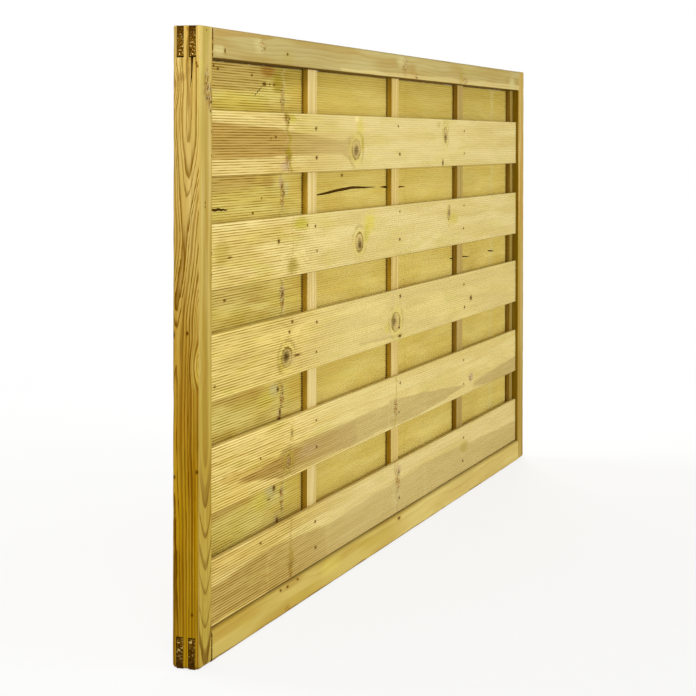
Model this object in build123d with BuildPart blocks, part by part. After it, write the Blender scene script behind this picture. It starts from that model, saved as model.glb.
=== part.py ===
from build123d import *
import os

os.makedirs("parts", exist_ok=True)

# Overall size of the panel. All sizes are in millimetres.
# X runs along the panel from the left stile's outer face, Y runs from front to back
# with 0 at mid thickness, and Z runs up with 0 at mid height.
panel_length = 1800.0
panel_height = 900.0
frame_thickness = 42.0

# Frame members, rounded along their long edges
stile_width = 44.0
rail_width = 44.0
frame_edge_radius = 4.0
stile_end_radius = 2.0

# Double open tenons at each corner, seen as end grain on the stile's outer face
tenon_thickness = 10.8
tenon_spacing = 18.6
tenon_step = 0.8
tenon_setback = 0.4
slot_bottom_gap = 0.8
shoulder_gap = 0.6

# Vertical battens that part the front boards from the back boards
inner_battens = 3
batten_width = 41.0
end_batten_width = 22.0
batten_thickness = 11.0
batten_edge_radius = 1.0
batten_end_gap = 0.5

# Boards, as many on the front as on the back
board_rows = 5
board_height = 95.0
board_thickness = 8.0
board_edge_radius = 1.0
board_rail_gap = 1.0
board_end_gap = 0.5

# How far each front board is nailed from its even place, from the bottom row up
front_board_shifts = (0.5, -1.0, -2.5, -7.0, -6.0)

# Ribs along the side of each board that looks to the front, with grooves between them
rib_count = 24
rib_groove_width = 1.6
rib_groove_depth = 1.0

# Sizes that follow from the ones above
opening_length = panel_length - 2 * stile_width
opening_height = panel_height - 2 * rail_width
slot_depth = rail_width + slot_bottom_gap
batten_length = opening_height - 2 * batten_end_gap
board_length = opening_length - 2 * board_end_gap
rib_pitch = board_height / rib_count
row_pitch = (opening_height - board_rail_gap) / board_rows
front_board_face = -batten_thickness / 2 - board_thickness
back_board_face = batten_thickness / 2


def make_stile(label, outer_face):
    # One upright over the full height, with two slots through each end for the tenons
    with BuildPart() as stile:
        with BuildSketch(Plane.XY.offset(-panel_height / 2)):
            with Locations((outer_face + stile_width / 2, 0)):
                RectangleRounded(stile_width, frame_thickness, frame_edge_radius)
        extrude(amount=panel_height)
        fillet(stile.faces().filter_by(Axis.Z).edges(), radius=stile_end_radius)
        with BuildSketch(Plane.YZ.offset(outer_face)):
            with GridLocations(tenon_spacing, panel_height - slot_depth, 2, 2):
                Rectangle(tenon_thickness, slot_depth)
        extrude(amount=stile_width, mode=Mode.SUBTRACT)
    stile.part.label = label
    export_step(stile.part, f"parts/{label}.step")


def make_rail(label, side):
    # One rail between the stiles, with two tenons that pass through each of them.
    # side is 1 for the top rail and -1 for the bottom one. The tenons are flush with
    # the rail's outer edge, and a step lower than its inner edge.
    middle_height = side * (panel_height - rail_width) / 2
    tenon_height = rail_width - tenon_step
    tenon_middle = side * (panel_height - tenon_height) / 2
    with BuildPart() as rail:
        with BuildSketch(Plane.YZ.offset(stile_width + shoulder_gap)):
            with Locations((0, middle_height)):
                RectangleRounded(frame_thickness, rail_width, frame_edge_radius)
        extrude(amount=opening_length - 2 * shoulder_gap)
        with BuildSketch(Plane.YZ.offset(tenon_setback)):
            with Locations((-tenon_spacing / 2, tenon_middle), (tenon_spacing / 2, tenon_middle)):
                Rectangle(tenon_thickness, tenon_height)
        extrude(amount=panel_length - 2 * tenon_setback)
    rail.part.label = label
    export_step(rail.part, f"parts/{label}.step")


def make_batten(label, left_side, width):
    # One upright batten from rail to rail, at mid thickness
    with BuildPart() as batten:
        with BuildSketch(Plane.XY.offset(-batten_length / 2)):
            with Locations((left_side + width / 2, 0)):
                RectangleRounded(width, batten_thickness, batten_edge_radius)
        extrude(amount=batten_length)
    batten.part.label = label
    export_step(batten.part, f"parts/{label}.step")


def make_board(label, bottom, ribbed_face):
    # One board from stile to stile, its profile cut by a V groove between each two ribs
    middle = bottom + board_height / 2
    with BuildPart() as board:
        with BuildSketch(Plane.YZ.offset(stile_width + board_end_gap)):
            with Locations((ribbed_face + board_thickness / 2, middle)):
                RectangleRounded(board_thickness, board_height, board_edge_radius)
            with Locations((ribbed_face, middle)):
                with GridLocations(rib_pitch, rib_pitch, 1, rib_count - 1):
                    Polygon(
                        (-rib_groove_depth, 0),
                        (0, -rib_groove_width / 2),
                        (rib_groove_depth, 0),
                        (0, rib_groove_width / 2),
                        mode=Mode.SUBTRACT,
                    )
        extrude(amount=board_length)
    board.part.label = label
    export_step(board.part, f"parts/{label}.step")


# Frame
make_stile("left_stile", 0)
make_stile("right_stile", panel_length - stile_width)
make_rail("bottom_rail", -1)
make_rail("top_rail", 1)

# Battens: a narrow one against each stile, and wide ones that leave equal bays between
bays_length = opening_length - 2 * end_batten_width - inner_battens * batten_width
bay_length = bays_length / (inner_battens + 1)
first_batten = stile_width + end_batten_width + bay_length
make_batten("left_batten", stile_width, end_batten_width)
make_batten("right_batten", panel_length - stile_width - end_batten_width, end_batten_width)
for count in range(inner_battens):
    make_batten(f"inner_batten_{count + 1}", first_batten + count * (batten_width + bay_length), batten_width)

# Front boards, evenly spread from the bottom rail up and then shifted one by one
front_bottoms = []
for row in range(board_rows):
    even_place = -opening_height / 2 + board_rail_gap + row * row_pitch
    front_bottoms.append(even_place + front_board_shifts[row % len(front_board_shifts)])
    make_board(f"front_board_{row + 1}", front_bottoms[row], front_board_face)

# Back boards, each over the middle of the gap above its front board, the last one under the top rail
for row in range(board_rows - 1):
    gap_middle = (front_bottoms[row] + board_height + front_bottoms[row + 1]) / 2
    make_board(f"back_board_{row + 1}", gap_middle - board_height / 2, back_board_face)
top_board = opening_height / 2 - board_rail_gap - board_height
make_board(f"back_board_{board_rows}", top_board, back_board_face)
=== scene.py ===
import math

import bmesh
import bpy
from mathutils import Matrix, Vector, noise


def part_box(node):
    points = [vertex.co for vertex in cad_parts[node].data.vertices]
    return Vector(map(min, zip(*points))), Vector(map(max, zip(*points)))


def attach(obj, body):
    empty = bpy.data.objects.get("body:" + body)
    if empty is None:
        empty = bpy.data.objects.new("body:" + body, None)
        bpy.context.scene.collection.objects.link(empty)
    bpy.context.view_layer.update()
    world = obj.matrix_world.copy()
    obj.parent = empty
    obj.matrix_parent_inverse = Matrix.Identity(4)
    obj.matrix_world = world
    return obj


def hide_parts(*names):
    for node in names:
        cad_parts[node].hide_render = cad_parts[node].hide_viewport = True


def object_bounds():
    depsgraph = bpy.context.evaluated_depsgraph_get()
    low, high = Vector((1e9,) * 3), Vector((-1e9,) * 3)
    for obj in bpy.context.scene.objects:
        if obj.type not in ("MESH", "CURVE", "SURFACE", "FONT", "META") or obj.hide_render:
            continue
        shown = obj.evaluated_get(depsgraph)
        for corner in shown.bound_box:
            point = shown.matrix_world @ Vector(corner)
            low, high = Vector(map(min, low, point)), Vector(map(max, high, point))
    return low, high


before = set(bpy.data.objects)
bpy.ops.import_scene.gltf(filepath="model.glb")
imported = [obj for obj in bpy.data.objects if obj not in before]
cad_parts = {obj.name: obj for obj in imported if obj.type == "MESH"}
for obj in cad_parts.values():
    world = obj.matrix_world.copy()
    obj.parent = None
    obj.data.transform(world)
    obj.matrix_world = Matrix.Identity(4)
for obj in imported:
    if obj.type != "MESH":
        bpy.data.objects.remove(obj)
cadLow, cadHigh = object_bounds()
mm = 0.001
print("frame: the packed panel has", len(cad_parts), "nodes")


def tone(red, green, blue):  # a screen colour of 0 to 255, as linear light
    shares = [value / 255 for value in (red, green, blue)]
    linear = [s / 12.92 if s <= 0.04045 else ((s + 0.055) / 1.055) ** 2.4 for s in shares]
    return (*linear, 1.0)


def newObject(name, data):
    made = bpy.data.objects.new(name, data)
    bpy.context.scene.collection.objects.link(made)
    return made


# Camera

photoView = {
    "place": (-2.2491, -1.0622, 0.2895),  # metres, in the panel's own frame
    "heading": 69.926,  # degrees from the panel's back direction towards its length
    "pitch": -0.389,
    "roll": -0.1135,
    "lens": 91.88,  # mm, on a sensor this wide
    "sensor": 36,
    "shiftUp": -0.2807,
    "farthest": 200,  # metres
}


def makeCamera(settings):
    heading, pitch, roll = (math.radians(settings[key]) for key in ("heading", "pitch", "roll"))
    level = math.cos(pitch)
    forward = Vector((math.sin(heading) * level, math.cos(heading) * level, math.sin(pitch)))
    side = Vector((math.cos(heading), -math.sin(heading), 0))
    right = side * math.cos(roll) + forward.cross(side) * math.sin(roll)
    down = forward.cross(right)
    data = bpy.data.cameras.new("photoCamera")
    data.sensor_width = settings["sensor"]
    data.lens = settings["lens"]
    data.shift_y = settings["shiftUp"]
    data.clip_end = settings["farthest"]
    camera = newObject("photoCamera", data)
    turn = Matrix((right, -down, -forward)).transposed().to_4x4()
    camera.matrix_world = Matrix.Translation(settings["place"]) @ turn
    bpy.context.scene.camera = camera


makeCamera(photoView)
print("camera: set at the photo's viewing angle")


# Node sums

class Wire:  # a node socket that Python's sums work on, each sum adding one Math node
    def __init__(self, tree, socket=None):
        self.tree = tree
        self.socket = socket

    def feed(self, target, value):  # a link or a plain value into a node's input
        if isinstance(value, Wire):
            self.tree.links.new(value.socket, target)
        else:
            target.default_value = value

    def node(self, kind, settings, sockets, output=0):  # any node: settings first, then its sockets
        made = self.tree.nodes.new(kind)
        for name, value in settings.items():
            setattr(made, name, value)
        for name, value in sockets.items():
            self.feed(made.inputs[name], value)
        if isinstance(output, tuple):
            return [Wire(self.tree, made.outputs[each]) for each in output]
        return Wire(self.tree, made.outputs[output])

    def maths(self, operation, *values):
        return self.node("ShaderNodeMath", {"operation": operation}, dict(enumerate(values)))

    def __add__(self, other):
        return self.maths("ADD", self, other)

    def __radd__(self, other):
        return self.maths("ADD", other, self)

    def __sub__(self, other):
        return self.maths("SUBTRACT", self, other)

    def __rsub__(self, other):
        return self.maths("SUBTRACT", other, self)

    def __mul__(self, other):
        return self.maths("MULTIPLY", self, other)

    def __rmul__(self, other):
        return self.maths("MULTIPLY", other, self)

    def __truediv__(self, other):
        return self.maths("DIVIDE", self, other)

    def __rtruediv__(self, other):
        return self.maths("DIVIDE", other, self)

    def __pow__(self, other):
        return self.maths("POWER", self, other)

    def __abs__(self):
        return self.maths("ABSOLUTE", self)

    def vector(self, x=0.0, y=0.0, z=0.0):
        return self.node("ShaderNodeCombineXYZ", {}, {0: x, 1: y, 2: z})

    def noiseAt(self, place, detail, scale=1.0):
        return self.node("ShaderNodeTexNoise", {}, {"Vector": place, "Scale": scale, "Detail": detail})

    def rise(self, none, full):  # 0 at none and 1 at full, smooth between, whichever is larger
        span = {"Value": self, "From Min": none, "From Max": full}
        return self.node("ShaderNodeMapRange", {"interpolation_type": "SMOOTHSTEP"}, span)

    def mix(self, share, first, second, way="MIX"):  # two colours mixed
        settings = {"data_type": "RGBA", "blend_type": way}
        return self.node("ShaderNodeMix", settings, {0: share, 6: first, 7: second}, 2)

    def blend(self, share, other, way="MIX"):  # this colour mixed with another one
        return self.mix(share, self, other, way)

    def choose(self, values):  # one of a list of numbers, by this whole number
        picker = self.tree.nodes.new("GeometryNodeIndexSwitch")
        picker.data_type = "FLOAT"
        while len(picker.index_switch_items) < len(values):
            picker.index_switch_items.new()
        self.feed(picker.inputs[0], self)
        for place, value in enumerate(values):
            self.feed(picker.inputs[place + 1], value)
        return Wire(self.tree, picker.outputs[0])


def emptyNodes(owner):  # a material or world with its nodes cleared, ready for new ones
    owner.use_nodes = True
    owner.node_tree.nodes.clear()
    return Wire(owner.node_tree)


def newMaterial(name):
    material = bpy.data.materials.new(name)
    return material, emptyNodes(material)


# Light and floor

studio = {
    "ambient": 0.30,
    "white": (1, 1, 1, 1),
    "lamps": {
        "frontLamp": {"place": (0.9, -3.8, 0.1), "aim": (0.75, 0.0, -0.15), "size": 2.6, "power": 124},
        "leftLamp": {"place": (-0.75, -0.3, 1.0), "aim": (0.0, 0.0, 0.3), "size": 0.5, "power": 9.5},
        "rightLamp": {"place": (3.2, 0.5, 0.7), "aim": (1.8, 0.0, 0.0), "size": 0.8, "power": 22},
        "backLamp": {"place": (1.2, 3.6, 1.6), "aim": (0.9, 0.0, 0.0), "size": 2.4, "power": 80},
    },
    "floorTone": tone(250, 250, 248),
    "floorBounce": tone(186, 180, 160),  # what other surfaces get back from the floor
    "floorSize": 40.0,
    "shadowReach": (2.8, 1.0),  # metres from the panel's middle, from the white floor to the pale one
    "shadowShare": 0.22,  # how much of the panel's own shadow stays on the floor
}


def makeSky(settings):  # white to the camera, and dimmer as light
    world = bpy.data.worlds.new("studioWorld")
    bpy.context.scene.world = world
    desk = emptyNodes(world)
    seen = desk.node("ShaderNodeLightPath", {}, {}, "Is Camera Ray")
    strength = seen * (1 - settings["ambient"]) + settings["ambient"]
    sky = desk.node("ShaderNodeBackground", {}, {"Color": settings["white"], "Strength": strength})
    desk.node("ShaderNodeOutputWorld", {}, {"Surface": sky}, ())


def makeLamp(name, lamp):
    data = bpy.data.lights.new(name, "AREA")
    data.shape = "SQUARE"
    data.size = lamp["size"]
    data.energy = lamp["power"]
    light = newObject(name, data)
    light.location = lamp["place"]
    aim = Vector(lamp["aim"]) - Vector(lamp["place"])
    light.rotation_euler = aim.to_track_quat("-Z", "Y").to_euler()


def floorMaterial(settings, middle):  # pale near the panel and pure white farther out
    material, desk = newMaterial("studioFloor")
    place = desk.node("ShaderNodeTexCoord", {}, {}, "Object")
    spots = {0: place, 1: (middle.x, middle.y, cadLow.z)}
    far = desk.node("ShaderNodeVectorMath", {"operation": "DISTANCE"}, spots, "Value")
    seen = desk.node("ShaderNodeLightPath", {}, {}, "Is Camera Ray")
    colour = desk.mix(seen, settings["floorBounce"], settings["floorTone"])
    pale = desk.node("ShaderNodeBsdfDiffuse", {}, {"Color": colour})
    white = desk.node("ShaderNodeEmission", {}, {"Color": settings["white"], "Strength": 1.0})
    share = 1 - far.rise(*settings["shadowReach"]) * settings["shadowShare"]
    mixed = desk.node("ShaderNodeMixShader", {}, {0: share, 1: pale, 2: white})
    desk.node("ShaderNodeOutputMaterial", {}, {"Surface": mixed}, ())
    return material


def makeFloor(settings):
    half = settings["floorSize"] / 2
    middle = (cadLow + cadHigh) / 2
    ways = ((-1, -1), (1, -1), (1, 1), (-1, 1))
    corners = [(middle.x + a * half, middle.y + b * half, cadLow.z) for a, b in ways]
    mesh = bpy.data.meshes.new("studioFloor")
    mesh.from_pydata(corners, [], [(0, 1, 2, 3)])
    mesh.materials.append(floorMaterial(settings, middle))
    floor = newObject("studioFloor", mesh)


makeSky(studio)
for name, lamp in studio["lamps"].items():
    makeLamp(name, lamp)
makeFloor(studio)
bpy.context.scene.view_settings.view_transform = "Standard"
print("studio: lamps and floor made")


# Wood

woodTones = {
    "knot": tone(196, 168, 106),
    "knotCore": tone(92, 68, 14),
    "knotRim": tone(122, 98, 6),
    "knotHalo": tone(212, 194, 88),
    "pit": tone(66, 38, 0),
    "pitHalo": tone(152, 112, 18),
    "dark": tone(96, 66, 4),
    "brown": tone(164, 122, 46),
    "olive": tone(164, 144, 16),
    "mossy": tone(190, 178, 44),
    "lime": tone(210, 194, 88),
    "greyPink": tone(198, 172, 134),
    "greyGreen": tone(202, 191, 130),
    "heart": tone(190, 162, 88),
    # gold and oliveGold serve as painted warm shade on the back boards
    "gold": tone(206, 168, 62),
    "oliveGold": tone(158, 137, 50),
    "cream": tone(238, 220, 150),
    "tornDeep": tone(56, 30, 0),
    "tornMid": tone(132, 90, 10),
    "tornPale": tone(226, 198, 112),
}
woodFinish = {
    "shine": 0.08,
    "shineTint": tone(255, 214, 120),
    "rough": 0.7,
    "bump": 0.5,  # mm
}


class Grain:  # one piece's places in mm from its low corner, its shared noises, and its colour so far
    def __init__(self, desk, corner, run, look):
        self.desk = desk
        self.look = look
        self.seed = look["seed"] * 7.31
        raw, facing = desk.node("ShaderNodeTexCoord", {}, {}, ("Object", "Normal"))
        place = self.scaled(raw, (1 / mm,) * 3, tuple(-value / mm for value in corner))
        x, y, z = desk.node("ShaderNodeSeparateXYZ", {}, {0: place}, (0, 1, 2))
        faces = [abs(part) for part in desk.node("ShaderNodeSeparateXYZ", {}, {0: facing}, (0, 1, 2))]
        self.along, self.across = (x, z) if run == "x" else (z, x)
        self.deep = y
        self.point = desk.vector(self.along, self.across, self.deep)
        self.isEnd = faces[0 if run == "x" else 2].rise(0.6, 0.9)
        self.isFront = faces[1].rise(0.5, 0.9)
        self.isSide = faces[0].rise(0.7, 0.95)
        self.ripple = (self.cloud((90, 9, 9), 6) - 0.5) * 2
        self.fibre = self.cloud((60, 0.9, 0.9), 8, 3.0)
        self.grit = (self.cloud((9, 7, 7), 9) - 0.5) * 0.5
        # far along, the ribs show little dirt, painted groove shade or fibre
        self.clean = self.along.rise(*look["clean"]) if look["ribbed"] else 0.0
        self.line = self.growthLine()
        self.relief = self.line * 0.35 + self.fibre * 0.5
        broad = self.cloud(look["patch"], 4).rise(0.38, 0.62)
        self.colour = desk.mix(broad, look["pale"], look["warm"])

    def scaled(self, vector, scale, shift):
        sockets = {0: vector, 1: scale, 2: shift}
        return self.desk.node("ShaderNodeVectorMath", {"operation": "MULTIPLY_ADD"}, sockets)

    def cloud(self, sizes, turn, detail=2.0):  # soft noise of 0 to 1 with features of these sizes
        shift = (self.seed + turn * 3.7, self.seed * 0.6 + turn * 5.1, turn * 2.3)
        return self.desk.noiseAt(self.scaled(self.point, tuple(1 / size for size in sizes), shift), detail)

    def reach(self, at, size, spread=1.0):  # distance from a place, 1 at the size's edge
        inverse = tuple(1 / (each * spread) if each else 0.0 for each in (*size, 0)[:3])
        shift = tuple(-a * s for a, s in zip((*at, 0)[:3], inverse))
        place = self.scaled(self.point, inverse, shift)
        return self.desk.node("ShaderNodeVectorMath", {"operation": "LENGTH"}, {0: place}, "Value")

    def years(self, rings, turn):  # rings out from a pith that moves along the piece, pushed aside by knots
        sideways = self.across + (self.cloud((280, 110, 110), turn) - 0.5) * rings["sway"] - rings["pith"][0]
        inward = self.deep + (self.cloud((240, 100, 100), turn + 1) - 0.5) * rings["sway"] - rings["pith"][1]
        drift = 0.0
        for start, end, aside, further, outward in rings["moves"]:
            share = self.along.rise(start, end)
            sideways = sideways - share * aside
            inward = inward - share * further
            drift = share * outward + drift
        radius = (sideways * sideways + inward * inward) ** 0.5 - drift
        for at, size, *rest in self.look["knots"]:
            radius = radius + self.reach(at, size, 3.0).rise(1.0, 0.0) * rings["push"]
        for at, size, push in self.look["bends"]:
            radius = radius + self.reach(at, size).rise(1.0, 0.0) * push
        radius = radius + (self.cloud((46, 3.2, 3.2), turn + 2) - 0.5) * rings["ragged"]
        slow = {"W": radius / 7 + self.seed, "Scale": 1.0, "Detail": 0.0}
        uneven = self.desk.node("ShaderNodeTexNoise", {"noise_dimensions": "1D"}, slow)
        return (radius + uneven * rings["uneven"]) / rings["wide"]

    def growthLine(self):  # 1 on the dark line that ends each year's ring, some of them fainter
        look = self.look
        count = self.years(look["rings"], 1)
        if "front" in look:
            count = count + (self.years(look["front"], 31) - count) * self.isFront
        cell = count.maths("FRACT", count)
        number = {"W": count.maths("FLOOR", count)}
        rank = self.desk.node("ShaderNodeTexWhiteNoise", {"noise_dimensions": "1D"}, number)
        return cell.rise(look["rings"]["sharp"], 0.88) * cell.rise(1.0, 0.94) * (0.55 + 0.45 * rank)

    def paint(self, share, shade, way="MIX"):  # lays a tone, named or given, over the colour so far
        shade = woodTones[shade] if isinstance(shade, str) else shade
        self.colour = self.colour.blend(share, shade, way)


def paintTones(wood):  # sapwood, bands of heartwood and stained patches
    look = wood.look
    wood.paint(wood.cloud((130, 24, 24), 5).rise(0.5, 0.72) * 0.55, look["tint"])
    for start, end, low, high, soft, name, share in look["bands"]:
        ends = {"Value": wood.along, "From Min": start, "From Max": end}
        part = wood.desk.node("ShaderNodeMapRange", {}, ends)
        under = low[0] + part * (low[1] - low[0])
        over = high[0] + part * (high[1] - high[0])
        level = wood.across + wood.ripple * 3.6
        inside = (level - under).rise(-soft, soft) * (over - level).rise(-soft, soft)
        run = wood.along + wood.ripple * 24
        fade = soft * 5
        within = run.rise(start - fade, start + fade) * run.rise(end + fade, end - fade)
        wood.paint(inside * within * share, name)
    if look["ribbed"]:
        wood.paint(wood.clean * 0.35, look["far"])
    for at, size, name, share in look["stains"]:
        patch = (wood.reach(at, size) + wood.ripple * 0.4).rise(1.2, 0.3)
        wood.paint(patch * share, name)


def paintFibres(wood):  # growth lines, long streaks and fibres
    look = wood.look
    streak = wood.cloud((260, 3.4, 3.4), 7)
    thin = wood.fibre.rise(0.5, 0.9) * (1 - 0.85 * wood.clean)
    depth = look["streaks"]
    shade = wood.line * look["rings"]["dark"] + streak.rise(0.5, 0.85) * depth + thin * depth
    if "calm" in look:
        shade = shade * (1 - wood.isFront * wood.along.rise(*look["calm"]) * 0.75)
    shade = shade * (1 - 0.55 * wood.clean)
    wood.paint(shade, look["line"], "MULTIPLY")


def paintKnots(wood):  # a pale body, a dark core off its middle, a broken rim and outer ring
    broken = wood.cloud((26, 18, 18), 18).rise(0.4, 0.58)
    for at, size, dark, lean in wood.look["knots"]:
        far = wood.reach(at, size) + wood.grit * 0.8
        core = wood.reach([a + s * l for a, s, l in zip(at, size, lean)], size) + wood.grit
        body = far.rise(1.06, 0.86)
        wood.paint(far.rise(2.3, 1.0) * 0.35, "knotHalo")
        wood.paint(abs(far - 1.7).rise(0.3, 0.04) * broken * 0.3, "knotRim")
        wood.paint(body * 0.6, "knot")
        wood.paint(core.rise(0.95, 0.1) * dark, "knotCore")
        wood.paint(abs(far - 0.96).rise(0.18, 0.03) * (0.35 + 0.6 * broken), "knotRim")
        wood.relief = wood.relief - body * 0.5


def paintThreads(wood):  # lines that run across the grain, such as a whorl's edge
    wave = (wood.cloud((500, 16, 16), 11) - 0.5) * 44
    for low, high, width, name, share in wood.look["threads"]:
        off = wood.along + wave - low - wood.across * ((high - low) / wood.look["height"])
        wood.paint(abs(off / width).rise(1.2, 0.3) * share, name)


def paintGrooveDirtAndShade(wood):  # dirt and painted shade in the grooves, less of it far along where painted light pales them, and painted shade on the lowest edge
    look = wood.look
    if look["ribbed"]:
        cloudy = wood.cloud((60, 3.4, 40), 12).rise(0.32, 0.62)
        # dirt and painted shade in the grooves, darker in clouds
        grooveDirtAndShade = wood.deep.rise(0.08, 0.5) * wood.deep.rise(1.7, 1.2) * (0.2 + 0.8 * cloudy)
        wood.paint(grooveDirtAndShade * (1 - 0.88 * wood.clean), look["groove"], "MULTIPLY")
        # painted light: far along, the grooves paler
        wood.paint(grooveDirtAndShade * wood.clean * 0.25, "cream")
    # painted shade along the lowest edge
    if look["foot"]:
        wood.paint(wood.across.rise(1.6, 0.4) * look["foot"], look["footLine"], "MULTIPLY")


def paintPits(wood):  # small dark spots, each with a rusty halo
    for at, size in wood.look["pits"]:
        far = wood.reach(at, (*size, 3)[:3]) + wood.grit * 0.8
        wood.paint(far.rise(2.0, 0.9) * 0.45, "pitHalo")
        wood.paint(far.rise(1.15, 0.5) * 0.85, "pit")


def paintBurrs(wood):  # rough spots, speckled dark and pale
    for at, size, share in wood.look["burrs"]:
        part = (wood.reach(at, size) + wood.ripple * 0.4).rise(1.15, 0.5) * share
        wood.paint(part * wood.cloud((12, 5, 5), 15).rise(0.44, 0.58), "brown")
        wood.paint(part * wood.cloud((8, 3, 3), 16).rise(0.52, 0.62), "dark")
        wood.paint(part * wood.cloud((7, 3, 3), 17).rise(0.54, 0.64) * 0.7, "greyPink")


def paintEnds(wood):  # end grain, torn where a look says so
    look = wood.look
    if "torn" not in look:
        wood.paint(wood.isEnd * (0.7 + 0.3 * wood.line), look["end"])
        return
    paler = wood.across.rise(*look["torn"])
    clump = wood.cloud((3, 1.7, 1.7), 13).rise(0.35, 0.65) * (0.3 + 0.7 * paler)
    crumb = wood.cloud((3, 2.8, 2.8), 14, 1.0).rise(0.60, 0.66) * paler
    torn = wood.desk.mix(clump, woodTones["tornDeep"], woodTones["tornMid"])
    wood.paint(wood.isEnd, torn.blend(crumb * 0.9, woodTones["tornPale"]))


def paintFaces(wood):  # a bar's front faces darker, and darker still towards the bottom as painted shade; painted shade on its side faces; painted shadow of the ribs' grooves on a batten's side
    look = wood.look
    if "face" in look:
        upper, lower, start, end = look["face"]
        # front faces darker overall, and painted shade that grows towards the bottom
        wood.paint(wood.isFront, upper, "MULTIPLY")
        wood.paint(wood.isFront * wood.along.rise(start, end), lower, "MULTIPLY")
    if "sides" in look:
        # painted shade on the side faces, streaked, by place along and across
        sideTone, start, end, share = look["sides"]
        marks = 0.86 + 0.14 * wood.cloud((200, 1.3, 1.3), 10).rise(0.35, 0.65)
        side = wood.isSide * marks * wood.along.rise(start, end) * wood.across.rise(*look["inner"]) * share
        wood.paint(side, sideTone, "MULTIPLY")
    if "teeth" in look:
        # painted shadow in the grooves of the ribs that meet a batten's side face
        pitch, depth = look["teeth"]
        step = wood.along / pitch
        tooth = abs(step.maths("FRACT", step) - 0.5) * 8
        notch = (wood.deep + tooth - depth).rise(-0.3, 0.3) * wood.isSide
        wood.paint(notch * 0.8, "pit")


def endMaterial(desk, finish):
    shader = desk.node("ShaderNodeBsdfPrincipled", {}, finish)
    desk.node("ShaderNodeOutputMaterial", {}, {"Surface": shader}, ())


def woodMaterial(name, corner, run, look):
    # look holds all places in mm from the piece's low corner: along the grain, across it and into its depth
    material, desk = newMaterial(name)
    wood = Grain(desk, corner, run, look)
    for paint in (paintTones, paintFibres, paintKnots, paintThreads, paintGrooveDirtAndShade, paintPits, paintBurrs):
        paint(wood)
    paintEnds(wood)
    paintFaces(wood)
    bump = {"Strength": 0.5, "Distance": woodFinish["bump"] * mm, "Height": wood.relief}
    endMaterial(desk, {
        "Base Color": wood.colour,
        "Roughness": woodFinish["rough"] + wood.fibre * 0.2 - wood.line * 0.05,
        "Normal": desk.node("ShaderNodeBump", {}, bump),
        "Specular IOR Level": woodFinish["shine"],
        "Specular Tint": woodFinish["shineTint"],
    })
    return material


def woodLook(seed, **changes):  # a plain sapwood piece, with what differs
    look = {
        "seed": seed,
        "pale": tone(229, 210, 140),
        "warm": tone(217, 194, 116),
        "tint": tone(210, 194, 96),
        "line": (0.62, 0.50, 0.24, 1.0),  # what a dark growth line lets through
        # the grooves' dirt and painted shade let this through
        "groove": (0.54, 0.44, 0.12, 1.0),
        # painted shade on the lowest edge lets this through
        "footLine": (0.30, 0.21, 0.03, 1.0),
        "end": tone(160, 118, 48),
        "far": tone(192, 179, 128),  # ribbed pieces turn to this tone
        "clean": (220, 640),  # between these places
        "patch": (340, 30, 30),
        "height": 95,
        "streaks": 0.2,
        "foot": 0.0,  # how dark the painted shade on its lowest edge is
        "inner": (900, 800),  # where across the piece the painted shade on its side faces reaches
        "rings": {},
        "bands": [],  # start and end along, lower and upper edge at each, softness, tone and share
        "stains": [],  # place, size, tone and share
        "threads": [],  # place along at the foot and at the top, width, tone and share
        "knots": [],  # place, size, how dark, and where the core leans
        "burrs": [],  # place, size and share
        "pits": [],  # place and size
        "bends": [],  # place, size, and how far the rings move
        "ribbed": False,
    }
    look.update(changes)
    usual = {
        "pith": (20, -60),  # across and into the piece
        "moves": [],  # start and end along, then how far aside, inward and outward
        "wide": 4.6,
        "sharp": 0.3,
        "sway": 12,
        "push": 12,
        "ragged": 0.9,
        "uneven": 5,
        "dark": 0.25,
    }
    for part in ("rings", "front"):
        if part in look:
            look[part] = {**usual, **look[part]}
    return look


# Finished pieces

sharpAngle = 38  # degrees, past which an edge stays sharp
pastFace = 1.0  # mm that a cut starts outside a face
edgeGuard = 1.5  # mm from a rounded edge to the next point, which keeps the flat face flat


def keepPiece(piece, slot, *nodes):
    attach(piece, "root")
    if nodes:
        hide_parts(*nodes)
    return piece


def linkMesh(name, mesh, angle=sharpAngle):
    for face in mesh.polygons:
        face.use_smooth = True
    mesh.set_sharp_from_angle(angle=math.radians(angle))
    return newObject(name, mesh)


def newTree(name, sizes):  # a Geometry Nodes tree with named inputs, listed by kind, and one output
    tree = bpy.data.node_groups.new(name, "GeometryNodeTree")
    tree.interface.new_socket("Geometry", in_out="INPUT", socket_type="NodeSocketGeometry")
    for kind, names in sizes.items():
        for size in names:
            tree.interface.new_socket(size, in_out="INPUT", socket_type="NodeSocket" + kind)
    tree.interface.new_socket("Geometry", in_out="OUTPUT", socket_type="NodeSocketGeometry")
    given = tree.nodes.new("NodeGroupInput")
    return tree, {socket.name: Wire(tree, socket) for socket in given.outputs if socket.name}


def endTree(desk, shape, material):  # realized and painted, which is how each tree ends
    real = desk.node("GeometryNodeRealizeInstances", {}, {0: shape})
    painted = desk.node("GeometryNodeSetMaterial", {}, {"Geometry": real, "Material": material})
    desk.node("NodeGroupOutput", {}, {0: painted}, ())


def plainMesh(piece):  # the piece's shape with its modifiers worked in
    evaluated = piece.evaluated_get(bpy.context.evaluated_depsgraph_get())
    return bpy.data.meshes.new_from_object(evaluated)


def grow(name, tree, values, points=()):  # runs a tree on a few points and keeps its result as a plain mesh
    seedMesh = bpy.data.meshes.new(name)
    seedMesh.from_pydata(list(points), [], [])
    piece = newObject(name, seedMesh)
    modifier = piece.modifiers.new(name, "NODES")
    modifier.node_group = tree
    sockets = {item.name: item.identifier for item in tree.interface.items_tree if item.in_out == "INPUT"}
    for size, value in values.items():
        modifier[sockets[size]] = value
    mesh = plainMesh(piece)
    bpy.data.objects.remove(piece)
    mesh.name = name
    return mesh


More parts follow.
